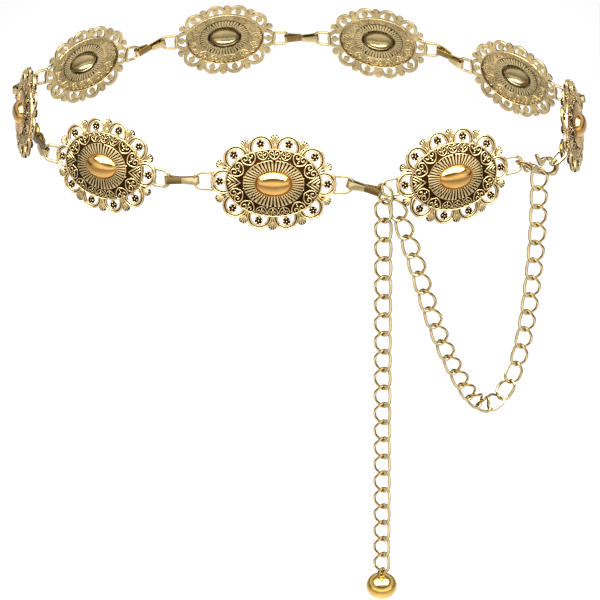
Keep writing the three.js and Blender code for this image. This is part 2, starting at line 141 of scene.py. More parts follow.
# In mm, how far below the medallion's front a place counts as a flute's hollow, and how far round a
# scroll the ground is kept dark
FLUTE_SUNK = 0.3
SCROLL_GROUND = 2.75

# Sizes of a scallop in mm: its middle above the rim, its flower's middle, the middle of its arch's
# section and the arch's groove
SCALLOP_MIDDLE = 1.0
FLOWER_MIDDLE = 2.95
ARCH_MIDDLE = 5.3
ARCH_GROOVE = (5.0, 5.5)

# How far the border of scallops and fans leans back
BORDER_TILT = math.radians(-6)

# Route of the draped chain in mm: distance along its chord, height, and set-back from the chord
SWAG_ROUTE = table(
    "along up back",
    (0, -9.3, 0), (11, -44, -4), (21, -78, -7), (34, -109, -8),
    (50, -135, -6), (68, -147, 2), (83, -141, 8), (91, -118, 8),
    (93.5, -84, 5), (93.5, -46, 2), (91.5, -9.2, 0),
)

# Outlines of the clasp in mm, along it and up
CLASP_HOOP = [
    (0.8, -1.3), (2.4, -2.3), (4.6, -3.0), (10.0, -3.4), (16.0, -3.8), (18.4, -3.3), (19.9, -1.9),
    (20.2, 0.4), (19.6, 2.4), (18.2, 4.4), (16.4, 5.7), (14.4, 6.3), (12.2, 6.3), (10.4, 6.1),
    (10.4, 4.5), (12.2, 4.65), (14.1, 4.5), (15.7, 3.8), (17.0, 2.7), (17.9, 1.4), (18.25, 0.1),
    (17.9, -1.1), (16.6, -1.9), (15.0, -2.1), (11.0, -1.95), (7.4, -1.7), (6.4, -1.0), (5.6, 0.5),
    (4.3, 1.7), (2.4, 1.9), (0.8, 1.3),
]
CLASP_LEVER = [
    (5.0, 2.9), (5.9, 1.9), (6.8, 1.25), (8.0, 1.0), (8.8, 2.4), (9.8, 4.3), (9.8, 5.9), (8.6, 6.0),
    (7.0, 5.3), (5.7, 4.7), (4.5, 5.7), (3.2, 7.3), (2.4, 7.1), (1.9, 6.5), (3.4, 4.7),
]


class ConchoSizes(bpy.types.PropertyGroup):
    """Sizes of one concho."""

    rim_length: bpy.props.FloatProperty(
        name="Rim half length", description="Middle of the concho to the rim of its oval, lengthwise",
        default=24.5 * MM, unit="LENGTH")
    rim_height: bpy.props.FloatProperty(
        name="Rim half height", description="Middle of the concho to the rim of its oval, upwards",
        default=17.4 * MM, unit="LENGTH")
    skin: bpy.props.FloatProperty(
        name="Skin", description="Thickness of the stamped sheet", default=0.3 * MM, unit="LENGTH")
    flutes: bpy.props.IntProperty(
        name="Flutes", description="Flutes round the dome", default=46)
    scallops: bpy.props.IntProperty(
        name="Scallops", description="Scallops round the rim", default=10)
    lean: bpy.props.FloatProperty(
        name="Lean", description="How far each concho leans back", default=math.radians(13),
        subtype="ANGLE", unit="ROTATION")
    loop_wire: bpy.props.FloatProperty(
        name="Loop wire", description="Thickness of the end loops' wire", default=1.6 * MM, unit="LENGTH")


class ChainSizes(bpy.types.PropertyGroup):
    """Sizes of the chains, ring, hooks and ball."""

    wire: bpy.props.FloatProperty(
        name="Link wire", description="Thickness of the links' wire", default=1.65 * MM, unit="LENGTH")
    half_length: bpy.props.FloatProperty(
        name="Link half length", description="Middle of a link to the middle of its end wire",
        default=6.2 * MM, unit="LENGTH")
    half_width: bpy.props.FloatProperty(
        name="Link half width", description="Middle of a link to the middle of its side wire",
        default=4.1 * MM, unit="LENGTH")
    ring_radius: bpy.props.FloatProperty(
        name="Ring radius", description="Middle of the large ring to the middle of its wire",
        default=5.3 * MM, unit="LENGTH")
    strip_height: bpy.props.FloatProperty(
        name="Strip height", description="Height of the flat strip of a hook",
        default=3.0 * MM, unit="LENGTH")
    ball_radius: bpy.props.FloatProperty(
        name="Ball radius", description="Half the ball's width", default=8.8 * MM, unit="LENGTH")


class FinishColours(bpy.types.PropertyGroup):
    """Colours of the metal."""

    raised: bpy.props.FloatVectorProperty(
        name="Raised gold", description="Rubbed high parts of a concho", subtype="COLOR",
        default=(0.74, 0.545, 0.26))
    # Antiquing in the hollows, and painted shade where raised parts face sideways.
    recess: bpy.props.FloatVectorProperty(
        name="Dark recess", description="Antiquing left in the recesses", subtype="COLOR",
        default=(0.032, 0.013, 0.0025))
    dome: bpy.props.FloatVectorProperty(
        name="Dome", description="Polished dome of a concho", subtype="COLOR", default=(0.60, 0.34, 0.10))
    back: bpy.props.FloatVectorProperty(
        name="Back", description="Inside of a concho", subtype="COLOR", default=(0.60, 0.46, 0.225))
    wire: bpy.props.FloatVectorProperty(
        name="Wire", description="Plated wire and strip", subtype="COLOR", default=(0.63, 0.50, 0.255))
    # Painted shade: the dark colour laid down the sides of wire, rings, loops, clasp and strip.
    edge: bpy.props.FloatVectorProperty(
        name="Wire edge", description="Darkened sides of wire and strip", subtype="COLOR",
        default=(0.15, 0.085, 0.015))
    ball: bpy.props.FloatVectorProperty(
        name="Ball", description="Polished ball", subtype="COLOR", default=(0.68, 0.44, 0.12))


def concho_sizes():
    return bpy.context.scene.concho_sizes


def chain_sizes():
    return bpy.context.scene.chain_sizes


def colours():
    return bpy.context.scene.finish_colours


# Modelling steps that every piece shares

def leave_all():
    """Leaves edit mode with nothing selected."""
    if bpy.context.mode != "OBJECT":
        bpy.ops.object.mode_set(mode="OBJECT")
    bpy.ops.object.select_all(action="DESELECT")


def only(obj):
    leave_all()
    obj.select_set(True)
    bpy.context.view_layer.objects.active = obj


def add(primitive, name, **settings):
    """Adds a mesh primitive with a name."""
    leave_all()
    getattr(bpy.ops.mesh, f"primitive_{primitive}_add")(**settings)
    obj = bpy.context.object
    obj.name = name
    return obj


def edit(obj):
    """Goes into edit mode with all of a piece selected."""
    only(obj)
    bpy.ops.object.mode_set(mode="EDIT")
    bpy.ops.mesh.select_all(action="SELECT")


def pick(obj, kind, test):
    """Selects the vertices, edges or faces that pass a test, in edit mode."""
    bpy.ops.mesh.select_mode(type={"verts": "VERT", "edges": "EDGE", "faces": "FACE"}[kind])
    bpy.ops.mesh.select_all(action="DESELECT")
    mesh = bmesh.from_edit_mesh(obj.data)
    for item in getattr(mesh, kind):
        if test(item):
            item.select_set(True)
    bmesh.update_edit_mesh(obj.data)


def modify(obj, kind, **settings):
    """Adds a modifier and applies it."""
    only(obj)
    modifier = obj.modifiers.new(kind.lower(), kind)
    for key, value in settings.items():
        setattr(modifier, key, value)
    bpy.ops.object.modifier_apply(modifier=modifier.name)


def round_edges(obj, width, segments, degrees):
    """Bevels the edges that turn by more than an angle."""
    modify(obj, "BEVEL", width=width, segments=segments, limit_method="ANGLE",
           angle_limit=math.radians(degrees))


def extrude(x, y, z):
    """Draws what is selected out by a step."""
    bpy.ops.mesh.extrude_region_move(TRANSFORM_OT_translate={"value": (x, y, z)})


def outward(obj):
    """Turns every face outwards."""
    edit(obj)
    bpy.ops.mesh.remove_doubles(threshold=1e-6)
    bpy.ops.mesh.normals_make_consistent(inside=False)
    leave_all()


def smooth(obj, degrees=35):
    only(obj)
    bpy.ops.object.shade_smooth_by_angle(angle=math.radians(degrees))


def reshape(obj, rule):
    """Moves each vertex to where the rule puts it."""
    for vertex in obj.data.vertices:
        vertex.co = rule(vertex.co)
    obj.data.update()


def placed(obj, name, matrix):
    """A copy of a piece with its own mesh, its place in the mesh."""
    copy = obj.copy()
    copy.data = obj.data.copy()
    copy.name = name
    copy.data.transform(matrix)
    bpy.context.scene.collection.objects.link(copy)
    return copy


def join(pieces, name):
    leave_all()
    for piece in pieces:
        piece.select_set(True)
    bpy.context.view_layer.objects.active = pieces[0]
    if len(pieces) > 1:
        bpy.ops.object.join()
    pieces[0].name = name
    return pieces[0]


def discard(*pieces):
    for piece in pieces:
        mesh = piece.data
        bpy.data.objects.remove(piece)
        bpy.data.meshes.remove(mesh)


def bent_wire(name, points, radius, closed=False, taper=None, sides=1):
    """Round wire along points, made from a path curve."""
    leave_all()
    bpy.ops.curve.primitive_nurbs_path_add()
    obj = bpy.context.object
    curve = obj.data
    curve.splines.clear()
    spline = curve.splines.new("POLY")
    spline.points.add(len(points) - 1)
    for k, point in enumerate(points):
        spline.points[k].co = (*point, 1)
        spline.points[k].radius = taper[k] if taper else 1
    spline.use_cyclic_u = closed
    curve.dimensions = "3D"
    curve.bevel_depth = radius
    curve.bevel_resolution = sides
    curve.use_fill_caps = not closed
    only(obj)
    bpy.ops.object.convert(target="MESH")
    obj = bpy.context.object
    obj.name = name
    outward(obj)
    return obj


def bent_ring(name, half_length, half_width, wire, turns=40, sides=12):
    """A wire ring drawn out to an oval along Z, its flat side facing Y."""
    obj = add("torus", name, major_radius=half_width, minor_radius=wire / 2,
              major_segments=turns, minor_segments=sides)
    edit(obj)
    bpy.ops.transform.rotate(value=math.pi / 2, orient_axis="X", center_override=(0, 0, 0))
    stretch = half_length - half_width
    if stretch > 0:
        for hand in (1, -1):
            pick(obj, "verts", lambda v, hand=hand: hand * v.co.z > 1e-6)
            bpy.ops.transform.translate(value=(0, 0, hand * stretch))
    leave_all()
    smooth(obj, 60)
    return mark_sides(obj, 1)


def outline_plate(name, outline, thickness, bevel):
    """A flat outline raised to a thickness along Z, its edges rounded, all in mm."""
    obj = add("circle", name, vertices=len(outline), radius=1, fill_type="NGON")
    for vertex, (x, y) in zip(obj.data.vertices, outline):
        vertex.co = (x * MM, y * MM, -thickness * MM / 2)
    edit(obj)
    extrude(0, 0, thickness * MM)
    leave_all()
    outward(obj)
    round_edges(obj, bevel * MM, 3, 50)
    smooth(obj)
    return obj


def flowing(points, steps, closed=False):
    """Points on a smooth curve through the given ones."""
    count = len(points)
    made = []
    for k in range(count if closed else count - 1):
        a, b, c, d = (Vector(points[(k + j) % count if closed else min(max(k + j, 0), count - 1)])
                      for j in (-1, 0, 1, 2))
        for step in range(steps):
            t = step / steps
            made.append(0.5 * ((2 * b) + (c - a) * t + (2 * a - 5 * b + 4 * c - d) * t * t
                               + (3 * b - a - 3 * c + d) * t ** 3))
    if not closed:
        made.append(Vector(points[-1]))
    return made


def mm(*point):
    """A point or a step that is given in mm."""
    return Vector(point) * MM


def in_metres(points):
    return [mm(*point) for point in points]


def shifted(obj, *step):
    """Moves a piece by a step in mm."""
    obj.data.transform(Matrix.Translation(mm(*step)))
    return obj


def polar(radius, angle, middle=0.0):
    """A point on a circle whose middle is on the X axis."""
    return middle + radius * math.cos(angle), radius * math.sin(angle)


def clamp(value):
    return min(max(value, 0), 1)


def store_wear(obj, marks):
    """Stores on each vertex how bright it is against a dark colour (antiquing and painted shade), its polish
    (on the back, painted shade in the bowl) and how far on the back it is.
    """
    layer = obj.data.color_attributes.get("wear") or obj.data.color_attributes.new(
        "wear", "FLOAT_COLOR", "POINT")
    for item, mark in zip(layer.data, marks):
        item.color = (*mark, 1)
    return obj


def mark_wear(obj, rule):
    """Stores the marks of rubbing and painted shade that a rule gives from each vertex's place and normal."""
    return store_wear(obj, [rule(vertex.co, vertex.normal) for vertex in obj.data.vertices])


def mark_sides(obj, axis):
    """Marks a wire or plate with painted shade between its two broad sides, which stay bright."""
    return mark_wear(obj, lambda co, normal: (clamp((abs(normal[axis]) - 0.45) / 0.45), 0, 0))


def plain_back(co, normal):
    return 1, 0, 1


def wear_rule(front, back_limit=-0.35):
    """A rule for rubbing and painted shade: plain where a surface faces back, and set by how far it faces
    forward elsewhere.
    """
    return lambda co, normal: (1, 0, 1) if normal.z < back_limit else (front(normal.z), 0, 0)


# Bright where it faces forward, with painted shade down its sides
by_normal = wear_rule(lambda forward: clamp((forward - 0.02) / 0.6))


def ride(piece, body, slot, material, *nodes):
    """Puts a finished piece on its body, in place of its solids."""
    piece.data.materials.clear()
    piece.data.materials.append(material)
    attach(piece, body)
    if nodes:
        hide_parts(*nodes)


# Finishes

class Signal:
    """A number that varies over a surface. Sums on it add Math nodes."""

    def __init__(self, finish, socket):
        self.finish = finish
        self.socket = socket

    def math(self, operation, first, second=0.0, clamp=False):
        node = self.finish.node(
            "ShaderNodeMath", {"operation": operation, "use_clamp": clamp}, {0: first, 1: second})
        return Signal(self.finish, node.outputs[0])

    def __add__(self, other):
        return self.math("ADD", self, other)

    def __radd__(self, other):
        return self.math("ADD", other, self)

    def __sub__(self, other):
        return self.math("SUBTRACT", self, other)

    def __rsub__(self, other):
        return self.math("SUBTRACT", other, self)

    def __mul__(self, other):
        return self.math("MULTIPLY", self, other)

    def __rmul__(self, other):
        return self.math("MULTIPLY", other, self)

    def clamped(self):
        return self.math("ADD", self, 0.0, clamp=True)

    def between(self, low, high):
        """0 below low, 1 above high, and smooth between."""
        node = self.finish.node("ShaderNodeMapRange", {"interpolation_type": "SMOOTHSTEP"},
                                {"Value": self, "From Min": low, "From Max": high})
        return Signal(self.finish, node.outputs[0])


class Nodes:
    """A node tree that is built node by node."""

    def __init__(self, owner):
        owner.use_nodes = True
        self.tree = owner.node_tree
        self.tree.nodes.clear()

    def node(self, kind, settings, inputs):
        """Adds a node, makes its settings, then gives its sockets values or links."""
        node = self.tree.nodes.new(kind)
        for key, value in settings.items():
            setattr(node, key, value)
        for key, value in inputs.items():
            self.feed(node.inputs[key], value)
        return node

    def feed(self, socket, value):
        if isinstance(value, Signal):
            value = value.socket
        if isinstance(value, bpy.types.NodeSocket):
            self.tree.links.new(value, socket)
        else:
            socket.default_value = value


class Finish(Nodes):
    """The material of one finish."""

    def __init__(self, name):
        self.material = bpy.data.materials.new(name)
        super().__init__(self.material)
        self.shader = self.node("ShaderNodeBsdfPrincipled", {}, {"Metallic": 1.0})
        self.node("ShaderNodeOutputMaterial", {}, {"Surface": self.shader.outputs[0]})
        self.place = self.node("ShaderNodeTexCoord", {}, {}).outputs["Object"]

    def noise(self, scale, detail=2.0, roughness=0.5):
        node = self.node("ShaderNodeTexNoise", {},
                         {"Vector": self.place, "Scale": scale, "Detail": detail, "Roughness": roughness})
        return Signal(self, node.outputs[0])

    def wear(self):
        """The marks stored on a piece: how bright against a dark colour (antiquing and painted shade), the
        polish (on the back, painted shade in the bowl) and how far on the back.
        """
        wear = self.node("ShaderNodeAttribute", {"attribute_name": "wear", "attribute_type": "GEOMETRY"}, {})
        split = self.node("ShaderNodeSeparateColor", {}, {0: wear.outputs["Color"]})
        return [Signal(self, socket) for socket in split.outputs[:3]]

    def mixed(self, first, second, share):
        """One colour turning into another."""
        node = self.node("ShaderNodeMix", {"data_type": "RGBA"}, {0: share, 6: first, 7: second})
        return node.outputs[2]

    def mottled(self, colour, dark, bright, share):
        """One colour in two shades."""
        return self.mixed(solid(colour, dark), solid(colour, bright), share)

    def bump(self, height, distance, strength=1.0):
        node = self.node("ShaderNodeBump", {}, {"Height": height, "Distance": distance, "Strength": strength})
        self.feed(self.shader.inputs["Normal"], node.outputs[0])

    def set(self, **sockets):
        for key, value in sockets.items():
            self.feed(self.shader.inputs[key.replace("_", " ").title()], value)
        return self.material


def solid(colour, shade=1.0):
    return (*(channel * shade for channel in colour), 1.0)


def stamped_gold():
    """Stamped gold, dark in its recesses and worn bright on top, with painted shade down the sides of raised
    parts and in the bowl behind the dome, a dome of high polish and a plain back.
    """
    paint = colours()
    finish = Finish("stamped_gold")
    # high: gold against the recess colour, low in the hollows and as painted shade down sideways-facing
    # sides.
    high, polish_and_bowl_shade, back = finish.wear()
    blotches = finish.noise(70.0, 3.0)
    stipple = finish.noise(2600.0, 2.0, 0.6)
    grain = finish.noise(600.0, 4.0, 0.6)
    rubbed_and_unshaded = (high + (grain - 0.5) * 0.35).between(0.38, 0.85)
    gold = finish.mottled(paint.raised, 0.86, 1.05, blotches.between(0.35, 0.65))
    # The recess colour: antiquing in the hollows, painted shade down sideways-facing sides.
    front = finish.mixed(solid(paint.recess), gold, rubbed_and_unshaded)
    dome = finish.mottled(paint.dome, 0.85, 1.08, blotches.between(0.3, 0.7))
    front = finish.mixed(front, dome, polish_and_bowl_shade)
    plain = finish.mottled(paint.back, 0.62, 1.05, (blotches * 0.5 + grain * 0.5).between(0.35, 0.65))
    # Painted shade: the bowl behind the dome at half the back colour.
    plain = finish.mixed(plain, solid(paint.back, 0.5), polish_and_bowl_shade)
    # Near black where the mark is low on the back: painted shade on the rib round the bowl, dark in the
    # back's flute hollows, speckled over the back of the band.
    plain = finish.mixed(solid(paint.back, 0.05), plain, rubbed_and_unshaded)
    colour = finish.mixed(front, plain, back)
    unpolished = 1 - polish_and_bowl_shade
    recessed = (1 - rubbed_and_unshaded) * unpolished * (1 - back)
    finish.bump(stipple * (recessed + back * unpolished * 0.8) + grain * 0.15 * unpolished, 0.00012, 0.5)
    roughness = 0.05 + recessed * 0.4 + back * unpolished * 0.16 + unpolished * 0.17 + grain * 0.06
    return finish.set(base_color=colour, roughness=roughness.clamped())


def plated_wire():
    """Bright pale plating on wire and strip, a little worn, with painted shade down the sides."""
    paint = colours()
    finish = Finish("plated_wire")
    blotches = finish.noise(140.0, 3.0)
    grain = finish.noise(900.0, 3.0, 0.6)
    # Painted shade: the edge colour where the mark is low, broken up by grain.
    unshaded_side = (finish.wear()[0] + (grain - 0.5) * 0.25).between(0.1, 0.7)
    colour = finish.mottled(paint.wire, 0.84, 1.05, blotches.between(0.35, 0.65))
    colour = finish.mixed(solid(paint.edge), colour, unshaded_side)
    finish.bump(grain, 0.00005, 0.25)
    return finish.set(base_color=colour, roughness=0.13 + grain * 0.14)


def polished_ball():
    """Mirror-bright warm gold with faint handling marks."""
    paint = colours()
    finish = Finish("polished_ball")
    blotches = finish.noise(160.0, 2.0)
    grain = finish.noise(1100.0, 4.0, 0.65)
    colour = finish.mottled(paint.ball, 0.9, 1.06, blotches.between(0.35, 0.65))
    finish.bump(blotches * 0.6 + grain * 0.1, 0.0001, 0.12)
    return finish.set(base_color=colour, roughness=0.07 + grain * 0.08)


def material(maker):
    """A finish that is made once."""
    return bpy.data.materials.get(maker.__name__) or maker()


def ride_wire(piece, body, *nodes):
    """Puts a piece of plated wire or strip on its body, in place of its solids."""
    ride(piece, body, "pale_gold", material(plated_wire), *nodes)


# Places that several pieces share

def concho_frame(place):
    sizes = concho_sizes()
    turn = math.radians(place["turn"])
    along = Vector((math.cos(turn), math.sin(turn), 0))
    out = Vector((math.sin(turn), -math.cos(turn), 0))
    basis = Matrix((along, UP, out)).transposed().to_4x4()
    roll = Matrix.Rotation(math.radians(place["roll"]), 4, "Z")
    lean = Matrix.Rotation(-sizes.lean, 4, "X")
    return Matrix.Translation(mm(*place["at"])) @ basis @ roll @ lean


def axes_frame(along, across, up, at):
    return Matrix.Translation(at) @ Matrix((along, across, up)).transposed().to_4x4()


# End loops in mm: where their ends lie, how far behind the concho's front plane, and half their height
LOOP_END = 39.8
LOOP_DEPTH = -1.6
LOOP_HALF_HEIGHT = 4.2


def loop_point(k, x, y=0.0):
    """A point in the plane of a concho's end loops."""
    return concho_frame(CONCHO_PLACES[k]) @ mm(x, y, LOOP_DEPTH)


def loop_end(k, hand):
    return loop_point(k, hand * LOOP_END)


def loop_up(k):
    return concho_frame(CONCHO_PLACES[k]).to_3x3() @ Vector((0, 1, 0))


# Rows of CONCHO_PLACES
FRONT_CENTRE = 0
SIDE_RIGHT = 7
FRONT_RIGHT = 8

# The large ring: its turn about the upright, its middle's place from the loop that it hangs in, and
# where the tail bears on it, in degrees from its bottom
RING_TURN = math.radians(-47)
RING_DROP = 3.5 * MM
RING_ACROSS = 2.2 * MM
TAIL_SEAT = -12


def ring_axes():
    along = Vector((math.cos(RING_TURN), math.sin(RING_TURN), 0))
    across = Vector((-along.y, along.x, 0))
    centre = loop_end(FRONT_RIGHT, -1) + across * RING_ACROSS - UP * RING_DROP
    return along, across, centre


def ring_point(degrees):
    """A point on the large ring, counted from its bottom."""
    along, _, centre = ring_axes()
    angle = math.radians(degrees)
    radius = chain_sizes().ring_radius
    return centre + along * radius * math.sin(angle) - UP * radius * math.cos(angle)


# The concho

def rim_angles(parts):
    """Angles that share the oval rim out by length, starting at the long end."""
    sizes = concho_sizes()
    steps = 3600  # a tenth of a degree each
    lengths = [0.0]
    for k in range(1, steps + 1):
        angle = (k - 0.5) / steps * FULL_TURN
        lengths.append(lengths[-1] + math.hypot(
            sizes.rim_length * math.sin(angle), sizes.rim_height * math.cos(angle)))
    found = []
    k = 0
    for part in range(parts):
        while lengths[k] < lengths[-1] * part / parts:
            k += 1
        found.append(k / steps * FULL_TURN)
    return found


def rim_frame(angle):
    """Frame on the rim: X along it, Y outwards, Z forward; and how sharply the rim bends there."""
    sizes = concho_sizes()
    a, b = sizes.rim_length, sizes.rim_height
    foot = Vector((a * math.cos(angle), b * math.sin(angle), 0))
    normal = Vector((math.cos(angle) / a, math.sin(angle) / b, 0)).normalized()
    along = Vector((normal.y, -normal.x, 0))
    bend = a * b / math.hypot(a * math.sin(angle), b * math.cos(angle)) ** 3
    return axes_frame(along, normal, UP, foot), bend


def oval(x, y, length, height):
    """Below 1 inside an oval and above 1 outside it."""
    return (x / length) ** 2 + (y / height) ** 2


def oval_row(x, y, row):
    return oval(x, y, row["length"], row["height"])


def front_height(x, y):
    """Height of the oval middle's front at a place, in mm."""
    rows = MEDALLION_SECTION[3:]  # from the rim's inside on
    for outer, inner in zip(rows, rows[1:]):
        if oval_row(x, y, inner) < 1:
            continue
        low, high = 0.0, 1.0
        for _ in range(18):
            middle = (low + high) / 2
            length = outer["length"] + (inner["length"] - outer["length"]) * middle
            height = outer["height"] + (inner["height"] - outer["height"]) * middle
            if oval(x, y, length, height) < 1:
                low = middle
            else:
                high = middle
        return outer["front"] + (inner["front"] - outer["front"]) * (low + high) / 2
    return MEDALLION_SECTION[-1]["front"]


def medallion():
    """The raised oval middle, drawn up ring by ring, fluted and given its sheet thickness."""
    sizes = concho_sizes()
    columns = sizes.flutes * 4
    first = MEDALLION_SECTION[0]
    obj = add("circle", "medallion", vertices=columns, radius=1, fill_type="NOTHING")
    edit(obj)
    bpy.ops.transform.resize(value=(first["length"] * MM, first["height"] * MM, 1), center_override=(0, 0, 0))
    bpy.ops.transform.translate(value=(0, 0, first["front"] * MM))
    for outer, inner in zip(MEDALLION_SECTION, MEDALLION_SECTION[1:]):
        extrude(0, 0, (inner["front"] - outer["front"]) * MM)
        bpy.ops.transform.resize(
            value=(inner["length"] / outer["length"], inner["height"] / outer["height"], 1),
            center_override=(0, 0, 0))
    bpy.ops.mesh.merge(type="CENTER")
    bpy.ops.mesh.select_all(action="SELECT")
    bpy.ops.mesh.normals_make_consistent(inside=False)
    rows = {row["name"]: row for row in MEDALLION_SECTION}
    outside, inside = rows["flute_outside"], rows["flute_inside"]

    def in_groove(face):
        """The two middle columns of each flute's four."""
        x, y = face.calc_center_median().xy / MM
        if oval_row(x, y, outside) > 1 or oval_row(x, y, inside) < 1:
            return False
        angle = math.atan2(
            y / (outside["height"] + inside["height"]), x / (outside["length"] + inside["length"]))
        return int((angle % FULL_TURN) / FULL_TURN * columns) % 4 in (1, 2)

    pick(obj, "faces", in_groove)
    bpy.ops.mesh.inset(thickness=0.02 * MM, depth=-0.6 * MM)
    leave_all()
    if sum(polygon.normal.z for polygon in obj.data.polygons) < 0:
        raise RuntimeError("the medallion faces backwards")
    front_count = len(obj.data.vertices)
    modify(obj, "SOLIDIFY", thickness=sizes.skin, offset=-1, use_even_offset=False)
    store_wear(obj, medallion_marks(obj, rows, front_count))
    smooth(obj, 50)
    return obj


def medallion_marks(obj, rows, front_count):
    """Marks of rubbing and painted shade on the medallion: the front's vertices come first, then those of its
    back.
    """
    marks = []
    for vertex in obj.data.vertices:
        x, y, z = vertex.co / MM
        on_front = vertex.index < front_count
        to_dome = oval_row(x, y, rows["dome_groove"])
        on_dome = to_dome < 0.999
        in_band = oval_row(x, y, rows["flute_wall"]) > 0.97
        sunk = front_height(x, y) - z > (FLUTE_SUNK if on_front else concho_sizes().skin / MM + 0.25)
        if on_front and on_dome:
            marks.append((1, 1, 0))
        elif on_front and in_band:
            marks.append((1 if oval(x, y, *RIM_START) > 1 else 0, 0, 0))
        elif on_front:
            under_scroll = any(
                math.hypot(abs(x) - mark["x"], abs(y) - mark["y"]) < SCROLL_GROUND * mark["scale"]
                for mark in SCROLLS)
            marks.append((0 if under_scroll or sunk else 1, 0, 0))
        else:
            # Painted shade: a dark outline on the rib round the bowl behind the dome; the back's flute
            # hollows are dark as well.
            bowl_outline_shade = 0.95 < to_dome < 1.03
            on_flutes = not on_dome and not in_band and oval(x, y, *FLUTE_END) > 1
            hollow = bowl_outline_shade or on_flutes and not sunk
            # On the back, the 0.6 polish mark on the bowl behind the dome paints shade into it.
            marks.append((0.72 if in_band else 0 if hollow else 1, 0.6 if on_dome else 0, 1))
    return marks


def on_band(x, y, turn, scale):
    """Lays a flat ornament on the sloping band at a place, turned and scaled."""
    cos, sin = math.cos(turn), math.sin(turn)

    def rule(co):
        u, v, w = co / MM * scale
        px = x + u * cos - v * sin
        py = y + u * sin + v * cos
        return mm(px, py, front_height(px, py) + w)
    return rule


def behind(obj):
    """A copy of an ornament that stands out on the back of the sheet."""
    depth = concho_sizes().skin + 0.2 * MM
    copy = placed(obj, f"{obj.name}_behind", Matrix.Translation((0, 0, -depth)))
    return mark_wear(copy, plain_back)


def band_ornament(master, name, x, y, scale=1.0):
    """A copy of a flat ornament on the band, its top towards the rim."""
    copy = placed(master, name, Matrix.Identity(4))
    rim = MEDALLION_SECTION[0]
    turn = math.atan2(y / rim["height"] ** 2, x / rim["length"] ** 2) - math.pi / 2
    reshape(copy, on_band(x, y, turn, scale))
    return mark_wear(copy, by_normal)


def quarters(x, y):
    """A place in each quarter of the band, or above and below only where it is on the middle line."""
    return [(hand_x * x, hand_y * y) for hand_x in ((1, -1) if x else (1,)) for hand_y in (1, -1)]


def scroll_work():
    """Heart scrolls, beads and chevrons on the band."""
    half = flowing(in_metres([(p["side"], p["out"], 0.1) for p in SCROLL_HALF]), 3)
    taper = [1] * (len(half) - 4) + [1.05, 1.15, 1.3, 1.3]
    curls = [bent_wire("scroll_half", [Vector((hand * p.x, p.y, p.z)) for p in half], 0.25 * MM, taper=taper)
             for hand in (1, -1)]
    bead = add("uv_sphere", "bead", segments=8, ring_count=6, radius=0.36 * MM)
    dots = [placed(bead, "dot", Matrix.Translation(mm(*at))) for at in ((0, -1.0, 0.05), (0, -0.2, 0.05))]
    heart = join([*curls, *dots], "heart")
    made = []
    for mark in SCROLLS:
        for x, y in quarters(mark["x"], mark["y"]):
            made.append(band_ornament(heart, "scroll", x, y, mark["scale"]))
            made.append(behind(made[-1]))
    for mark in FILLING_BEADS:
        made += [band_ornament(bead, "filling", x, y) for x, y in quarters(mark["x"], mark["y"])]
    for tip in CHEVRON_POINTS:
        reach = 0.0
        while oval(tip + reach, reach * CHEVRON_SLOPE, *CHEVRON_LIMIT) < 1 and reach < CHEVRON_REACH:
            reach += 0.05
        arm = [(tip + reach * share, reach * share * CHEVRON_SLOPE, 0.08) for share in (1, 0.66, 0.33)]
        path = [*arm, (tip, 0, 0.08), *[(x, -y, z) for x, y, z in reversed(arm)]]
        for hand in (1, -1):
            bar = bent_wire("chevron", in_metres([(hand * x, y, z) for x, y, z in path]), 0.42 * MM)
            reshape(bar, on_band(0, 0, 0, 1))
            made += [mark_wear(bar, by_normal), behind(bar)]
    turns = [polar(1, k / 120 * FULL_TURN) for k in range(120)]
    for name, height, radius, rule in (
            ("rim_bead", 0.5, 0.36, by_normal), ("back_bead", -1.05, 0.4, plain_back)):
        rope = in_metres([(ROPE[0] * cos, ROPE[1] * sin, height) for cos, sin in turns])
        made.append(mark_wear(bent_wire(name, rope, radius * MM, closed=True), rule))
    discard(heart, bead)
    return made


def arch(bend):
    """One scallop's arch, its section turned round the scallop's middle down to the rim."""
    span = math.radians(90)
    while SCALLOP_MIDDLE + ARCH_MIDDLE * math.cos(span) + (
            ARCH_MIDDLE * math.sin(span)) ** 2 * bend * MM / 2 > -0.3:
        span += 0.01
    obj = add("circle", "arch", vertices=len(ARCH_SECTION), radius=1, fill_type="NOTHING")
    for vertex, row in zip(obj.data.vertices, ARCH_SECTION):
        vertex.co = mm(row["reach"] * math.sin(-span), row["reach"] * math.cos(-span), row["front"])
    edit(obj)
    bpy.ops.mesh.edge_face_add()
    bpy.ops.mesh.spin(steps=26, angle=2 * span, center=(0, 0, 0), axis=(0, 0, 1), use_normal_flip=False)
    leave_all()
    outward(shifted(obj, 0, SCALLOP_MIDDLE, 0))
    smooth(obj, 60)

    # Dark in the arch's groove; painted shade where the arch faces sideways, bright where it faces forward.
    def rule(co, normal):
        reach = math.hypot(co.x, co.y - SCALLOP_MIDDLE * MM) / MM
        groove = ARCH_GROOVE[0] < reach < ARCH_GROOVE[1] and normal.z > 0.3
        if normal.z < -0.35:
            return 1, 0, 1
        return 0 if groove else clamp(normal.z * 1.8), 0, 0
    return mark_wear(obj, rule)


